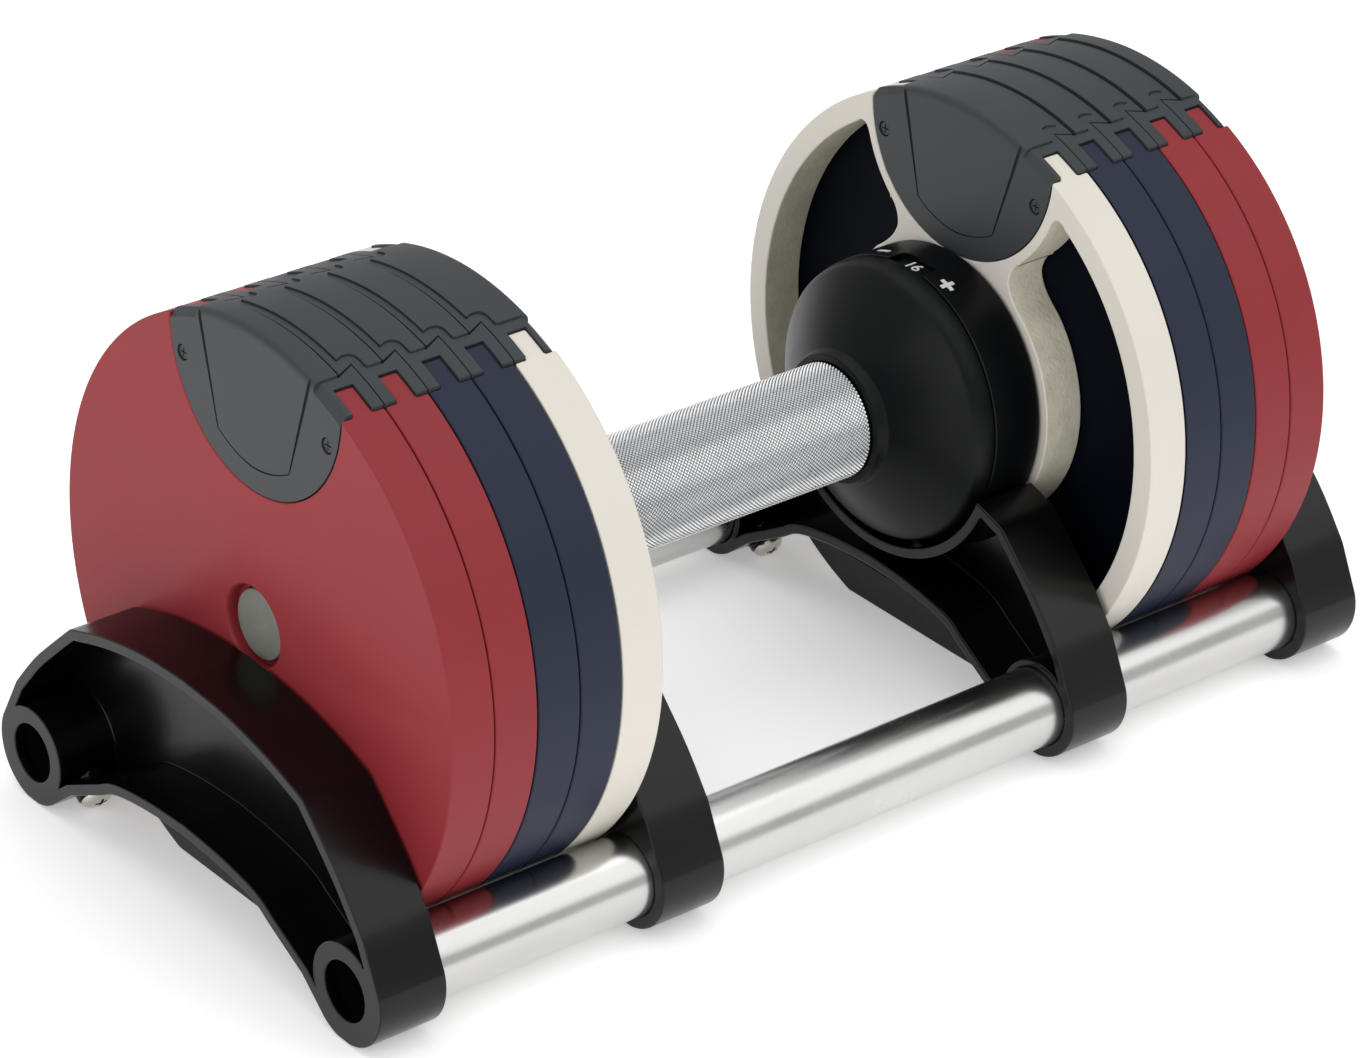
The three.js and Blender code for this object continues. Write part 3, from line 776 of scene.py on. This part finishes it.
def dial_mesh():
    """The turning cover: a collar, a slightly crowned cone, its skirt and the number ring."""
    x = DIAL[0]
    outer = [(x, 17.2), (x, 18.6)]
    outer += curve(outer[-1], (x, 19.2), (x + 0.6, 19.25), 4)
    outer += [(x + 3, 19.9)]
    outer += curve(outer[-1], (x + 3.3, 20.0), (x + 3.6, 20.6), 3)
    outer += curve(outer[-1], (x + 10.6, 32.4), (x + 16.6, 39.4), 12)
    outer += curve(outer[-1], (x + 17.5, 40.5), (x + 18.7, 40.8), 5)
    outer += [(x + 21.6, COVER_R)]
    outer += [(68.6, COVER_R), (69, COVER_R - 0.4), (69, RING_R)]
    outer += [(DIAL[1], RING_R), (DIAL[1], 36.3)]
    inner = [(64.6, 36.3), (52.6, 21), (52.6, 18.4), (71.6, 18.4), (71.6, 14.7)]
    inner += [(47.3, 14.7), (47.3, 17.2)]
    mesh = turned(outer + inner, 144)
    tools = []
    for i in range(6):
        notch = block(69.2, 77, -2.8, 2.8, AXIS_Z - 38.9, AXIS_Z - 34)
        turn = (Matrix.Translation((0, 0, AXIS_Z * MM)) @ Matrix.Rotation(math.radians(60 * i), 4, "X")
                @ Matrix.Translation((0, 0, -AXIS_Z * MM)))
        tools.append(moved(notch, turn))
    return cut(mesh, *tools)


pair("turning_cover", dial_mesh(), "grip", HUB, "hub_plastic", "dial")


def hub_mesh():
    """The fixed shell beside the first plate, with a window and a hole for the lock pin."""
    x0, x1 = HUB_X
    profile = [(x0, 40.6), (x0, HUB_R - 0.3), (x0 + 0.3, HUB_R), (x1 - 1.2, HUB_R)]
    profile += curve(profile[-1], (x1, HUB_R), (x1, HUB_R - 1.2), 4)
    profile += [(x1, 12.7), (81.3, 12.7), (81.3, 14.8), (72, 14.8), (72, 18.5), (83, 18.5), (83, 38.5),
                (76.2, 38.5), (76.2, 40.6)]
    mesh = turned(profile, 144)
    window = rounded([(x0 - 4, -7), (75.2, -7), (75.2, 7), (x0 - 4, 7)], 1.6, 4)
    window = column(window, AXIS_Z + 30, AXIS_Z + 50)
    hole = column(arc(LOCK_X, 0, 3.2, 0, 350, 10), AXIS_Z - 50, AXIS_Z - 30)
    return cut(mesh, window, hole)


pair("hub_shell", hub_mesh(), "dumbbell", HUB, "hub_plastic", "hub_housing")


def wrapped(mesh, radius, x, degrees, raise_by, hand):
    """Lays a flat drawing on a cylinder about the handle axis, `degrees` from the top."""
    copy = mesh.copy()
    for v in copy.vertices:
        along, up, lift = v.co.x, v.co.y, v.co.z
        r = radius * MM + (raise_by * MM if lift > 0 else -0.15 * MM)
        a = math.radians(degrees) + hand * along / (radius * MM)
        v.co = (hand * x * MM + hand * up, -r * math.sin(a), AXIS_Z * MM + r * math.cos(a))
    return copy


def glyph(text, size):
    """A flat drawing of a number, in small enough faces to wrap round a ring."""
    data = bpy.data.curves.new("g", "FONT")
    data.body = text
    data.size = size * MM
    data.align_x = "CENTER"
    data.align_y = "CENTER"
    data.extrude = 0.1 * MM
    data.offset = 0.045 * MM
    obj = bpy.data.objects.new("g", data)
    scratch.objects.link(obj)
    graph = bpy.context.evaluated_depsgraph_get()
    mesh = bpy.data.meshes.new_from_object(obj.evaluated_get(graph))
    bpy.data.objects.remove(obj)
    bm = bmesh.new()
    bm.from_mesh(mesh)
    bmesh.ops.remove_doubles(bm, verts=bm.verts, dist=0.01 * MM)
    bmesh.ops.subdivide_edges(bm, edges=[e for e in bm.edges if e.calc_length() > 0.7 * MM], cuts=1)
    bmesh.ops.triangulate(bm, faces=bm.faces)
    bmesh.ops.recalc_face_normals(bm, faces=bm.faces)
    bm.to_mesh(mesh)
    bm.free()
    return mesh


def sign_mesh(plus, size=4.7, bar=1.3):
    """A flat drawing of a minus, or of a plus, prepared in the same way."""
    half, thin, lift = size / 2, bar / 2, 0.1
    parts = block(-half, half, -thin, thin, -lift, lift)
    if plus:
        parts = join(parts, block(-thin, thin, -half, half, -lift, lift))
    bm = bmesh.new()
    bm.from_mesh(parts)
    bmesh.ops.triangulate(bm, faces=bm.faces)
    bmesh.ops.subdivide_edges(bm, edges=[e for e in bm.edges if e.calc_length() > 0.8 * MM], cuts=2)
    bmesh.ops.triangulate(bm, faces=bm.faces)
    bm.to_mesh(parts)
    bm.free()
    return parts


# The marks read from the grip's side on both hubs; 60 degrees of turn brings up the next number.
for side, hand in (("right", 1), ("left", -1)):
    for step, value in enumerate((4, 8, 12, 16, 20, 24)):
        degrees = 180 - 60 * step
        mesh = wrapped(glyph(str(value), 5.6), RING_R, NUMBER_X, degrees, 0.12, hand)
        piece(f"number_{value}_{side}", mesh, "grip", MARK, "white")
    for plus in (False, True):
        degrees = SIGN_TURN if plus else -SIGN_TURN
        mesh = wrapped(sign_mesh(plus), HUB_R, SIGN_X, degrees, 0.12, hand)
        piece(f"{'plus' if plus else 'minus'}_{side}", mesh, "dumbbell", MARK, "white")

# ---- cradle ----------------------------------------------------------------------------------
# Half of an arch from the top to a boss and back under, measured from the tubes' height.
CROWN = [(0, 57.6), (18, 56.5), (36, 53.1), (51, 48.4)]
SIDE = [(52.3, 47.8), (61, 39.4), (69.8, 30.4), (78.6, 19.2)]
UNDER_OUTER = [(53, -4.6), (39, 2.6), (31, 6.6), (16, 9.2), (0, 10.2)]
UNDER_INNER = [(53, -4.6), (39, 3.7), (31, 8.4), (16, 11.2), (0, 12.2)]


def spline(points, count):
    """Points on a smooth curve through the given ones."""
    out = []
    for i in range(count + 1):
        at = (len(points) - 1) * i / count
        k = min(int(at), len(points) - 2)
        t = at - k
        p0 = points[k if k == 0 else k - 1]
        p1, p2 = points[k], points[k + 1]
        p3 = points[k + 2 if k + 2 < len(points) else len(points) - 1]
        row = []
        for a, b, c, d in zip(p0, p1, p2, p3):
            v0, v1 = (c - a) / 2, (d - b) / 2
            cubic, square = 2 * b - 2 * c + v0 + v1, -3 * b + 3 * c - 2 * v0 - v1
            row.append(cubic * t ** 3 + square * t ** 2 + v0 * t + b)
        out.append(tuple(row))
    return out


def arch_outline(inset, under):
    """The whole arch's outline, or one moved in by `inset` for its pocket."""
    line = spline(CROWN, 18) + spline(SIDE, 9)
    line += arc(TUBE_Y, 0, BOSS_R, 20, -125, 5) + spline(under, 16)
    if inset:
        out = []
        for i, p in enumerate(line):
            a = Vector(line[max(i - 1, 0)])
            b = Vector(line[min(i + 1, len(line) - 1)])
            along = (b - a).normalized()
            if i == 0:
                along = Vector((1, 0))
            if i == len(line) - 1:
                along = Vector((-1, 0))
            out.append((p[0] + along.y * inset, p[1] - along.x * inset))
        line = out
    return line + [(-y, z) for y, z in line[1:-1][::-1]]


def plate_guard(x0, x1, shoulder, top):
    """The lower part of the wall beside the plates; it ends inside the arch's lower wall."""
    low = GUARD_LOW - TUBE_Z
    half = [(50, low), (50, 0), (38, shoulder), (20, top)]
    plan = half + [(-y, z) for y, z in half[::-1]]
    round_part = prism(arc(0, AXIS_Z - TUBE_Z, GUARD_R, 180, 359, 2), x0, x1, TUBE_Z)
    return both(prism(plan, x0, x1, TUBE_Z), round_part)


def along_screw(x, side):
    """Places a piece built along X from a tube's centre on a screw's own line."""
    down = Matrix(((0, 0, 1, 0), (0, 1, 0, 0), (-1, 0, 0, 0), (0, 0, 0, 1)))
    tilt = Matrix.Rotation(math.radians(-side * SCREW_ANGLE), 4, "X")
    return (Matrix.Translation((x * MM, side * TUBE_Y * MM, TUBE_Z * MM)) @ tilt @ down
            @ Matrix.Translation((0, 0, -AXIS_Z * MM)))


def bracket_mesh(x_range, open_near, saddle):
    """A hollow arch; `open_near` says which face is open and `saddle` which one holds a hub."""
    near, far = x_range
    mid = (near + far) / 2
    under = UNDER_INNER if saddle else UNDER_OUTER
    mesh = prism(arch_outline(0, under), near, far, TUBE_Z)
    for side in (-1, 1):
        mesh = join(mesh, moved(rod(12.4, 17.5, 5.2), along_screw(mid, side)))
    p0, p1 = (near - 1, far - BACK) if open_near else (near + BACK, far + 1)
    pocket = prism(arch_outline(WALL, under), p0, p1, TUBE_Z)
    if saddle:
        mesh = cut(mesh, rod(near - 1, far + 1, SADDLE_R, segments=144))
        pocket = cut(pocket, rod(p0 - 1, p1 + 1, SADDLE_R + WALL, segments=144))
        post = column(arc(LOCK_X, 0, LOCK_POST_R, 0, 350, 10), TUBE_Z + 20, LOCK_POST_TOP)
        mesh = join(mesh, post)
        pocket = cut(pocket, column(arc(LOCK_X, 0, 6, 0, 350, 10), TUBE_Z + 5, TUBE_Z + 30))
    keep = []
    for side in (-1, 1):
        keep.append(rod(p0 - 1, p1 + 1, BOSS_RING, side * TUBE_Y, 0, TUBE_Z, 72))
        keep.append(moved(rod(9, 17.5, 5.2), along_screw(mid, side)))
    mesh = cut(mesh, cut(pocket, *keep))
    wall = (far - BACK, far) if open_near else (near, near + BACK)
    shoulder, top = (8, 14) if saddle else (6.2, 11.4)
    mesh = join(mesh, plate_guard(*wall, shoulder, top))
    holes = [block(near - 2, far + 2, -100, 100, -8, 0)]
    for side in (-1, 1):
        end = far + 1 if saddle else TUBE_HALF + 0.3
        holes.append(rod(near - 1, end, TUBE_R + 0.1, side * TUBE_Y, 0, TUBE_Z, 96))
        if not saddle:
            holes.append(rod(near - 1, far + 1, BOSS_EYE, side * TUBE_Y, 0, TUBE_Z, 72))
        holes.append(moved(rod(10, 19, 2.2, segments=32), along_screw(mid, side)))
    for hole in holes:
        mesh = cut(mesh, hole)
    return mesh


pair("outer_arch", bracket_mesh(OUTER_X, False, False), "cradle", GLOSS, "bracket_gloss",
     "outer_bracket", edge=0.4, steps=3)
pair("inner_arch", bracket_mesh(INNER_X, True, True), "cradle", GLOSS, "bracket_gloss",
     "inner_bracket", edge=0.6, steps=3)

for place, side in (("front", -1), ("rear", 1)):
    wall = [(-TUBE_HALF, TUBE_BORE), (-TUBE_HALF, TUBE_R)]
    wall += [(TUBE_HALF, TUBE_R), (TUBE_HALF, TUBE_BORE)]
    mesh = turned(rounded(wall, 0.5), 128, side * TUBE_Y, TUBE_Z)

    # The bore's walls take the painted shade
    def bore_wall(poly):
        y, z = poly.center.y / MM - side * TUBE_Y, poly.center.z / MM - TUBE_Z
        return math.hypot(y, z) < TUBE_BORE + 0.1

    piece(f"base_tube_{place}", mesh, "cradle", [CHROME, BORE], "chrome", f"tube_{place}",
          second=bore_wall)


def pan_screw():
    """A pan-head screw on the handle axis, with its head at the far end."""
    profile = [(11.9, 0.01), (11.9, 1.9), (17.8, 1.9), (17.8, 4.6)]
    profile += curve(profile[-1], (17.9, 4.75), (18.5, 4.7), 3)
    profile += curve(profile[-1], (20.6, 4.1), (20.7, 0.01), 8)
    return cut(turned(profile, 56), *cross_recess(19.1, 21, 1.9, 0.42))


screw = pan_screw()
for kind, x_range in (("outer", OUTER_X), ("inner", INNER_X)):
    for place, side in (("front", -1), ("rear", 1)):
        mesh = moved(screw, along_screw(sum(x_range) / 2, side))
        node = f"{kind}_cradle_screw_{place}"
        pair(f"pan_{node}", mesh, "cradle", SCREW, "bare_steel", node)

# ---- pieces inside, kept as they are ---------------------------------------------------------
INSIDE = ("axle", "follower", "core_tube", "drive_sleeve", "lock_")
for name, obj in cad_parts.items():
    if name.startswith(INSIDE):
        obj.data.materials.clear()
        obj.data.materials.append(STEEL)
        obj.data.shade_smooth()
        obj.data.set_sharp_from_angle(angle=math.radians(35))

# ---- floor, light and camera -----------------------------------------------------------------
floor_mesh = bpy.data.meshes.new("floor")
far = 6
floor_mesh.from_pydata([(-far, -far, 0), (far, -far, 0), (far, far, 0), (-far, far, 0)], [],
                       [(0, 1, 2, 3)])
floor = bpy.data.objects.new("floor", floor_mesh)
floor.location.z = -0.0004
bpy.context.scene.collection.objects.link(floor)
paper = surface("floor_paper", (250, 250, 250), 0.85, 0.002, 3, 300, 0.02, specular=0.2)
glow = paper.node_tree.nodes["Principled BSDF"].inputs
glow["Emission Color"].default_value = (1, 1, 1, 1)
glow["Emission Strength"].default_value = 0.34
floor_mesh.materials.append(paper)


def softbox(name, place, size, power=9):
    """A rectangular lamp, its size and place in metres, that looks at the object."""
    data = bpy.data.lights.new(name, "AREA")
    data.shape = "RECTANGLE"
    data.size, data.size_y = size
    data.energy = power
    obj = bpy.data.objects.new(name, data)
    obj.location = place
    obj.rotation_mode = "QUATERNION"
    aim = Vector((0, 0, 0.08))
    obj.rotation_quaternion = (aim - Vector(place)).to_track_quat("-Z", "Y")
    bpy.context.scene.collection.objects.link(obj)


softbox("key", (0.9, -1.0, 1.5), (1.8, 1.8))
softbox("top", (0.0, 0.3, 1.8), (2.2, 1.8))
softbox("fill", (-1.6, -0.6, 0.7), (1.6, 1.4))
world = bpy.data.worlds.new("world")
bpy.context.scene.world = world
world.use_nodes = True
sky = world.node_tree.nodes["Background"].inputs
sky["Color"].default_value = (1, 1, 1, 1)
sky["Strength"].default_value = 0.59
bpy.context.scene.view_settings.view_transform = "Standard"

camera = bpy.data.cameras.new("camera")
camera.sensor_width = 36.0
camera.lens = 136.9
camera.clip_start, camera.clip_end = 0.05, 50
eye = bpy.data.objects.new("camera", camera)
bpy.context.scene.collection.objects.link(eye)
azimuth, elevation, roll = math.radians(-41.15), math.radians(29.02), math.radians(2.82)
level = math.cos(elevation)
back = Vector((math.sin(azimuth) * level, -math.cos(azimuth) * level, math.sin(elevation)))
right = Vector((math.cos(azimuth), math.sin(azimuth), 0))
up = back.cross(right)
turned_right = right * math.cos(roll) + up * math.sin(roll)
turned_up = up * math.cos(roll) - right * math.sin(roll)
eye.rotation_mode = "QUATERNION"
eye.rotation_quaternion = Matrix((turned_right, turned_up, back)).transposed().to_quaternion()
# The camera was solved with a plate radius of 100, measured from the tubes' height.
k = PLATE_R / 100
aim = Vector((-3.19 * k, 8.54 * k, 50 * k + TUBE_Z))
eye.location = aim * MM + back * (1704.83 * k * MM)
bpy.context.scene.camera = eye

bpy.data.collections.remove(scratch)
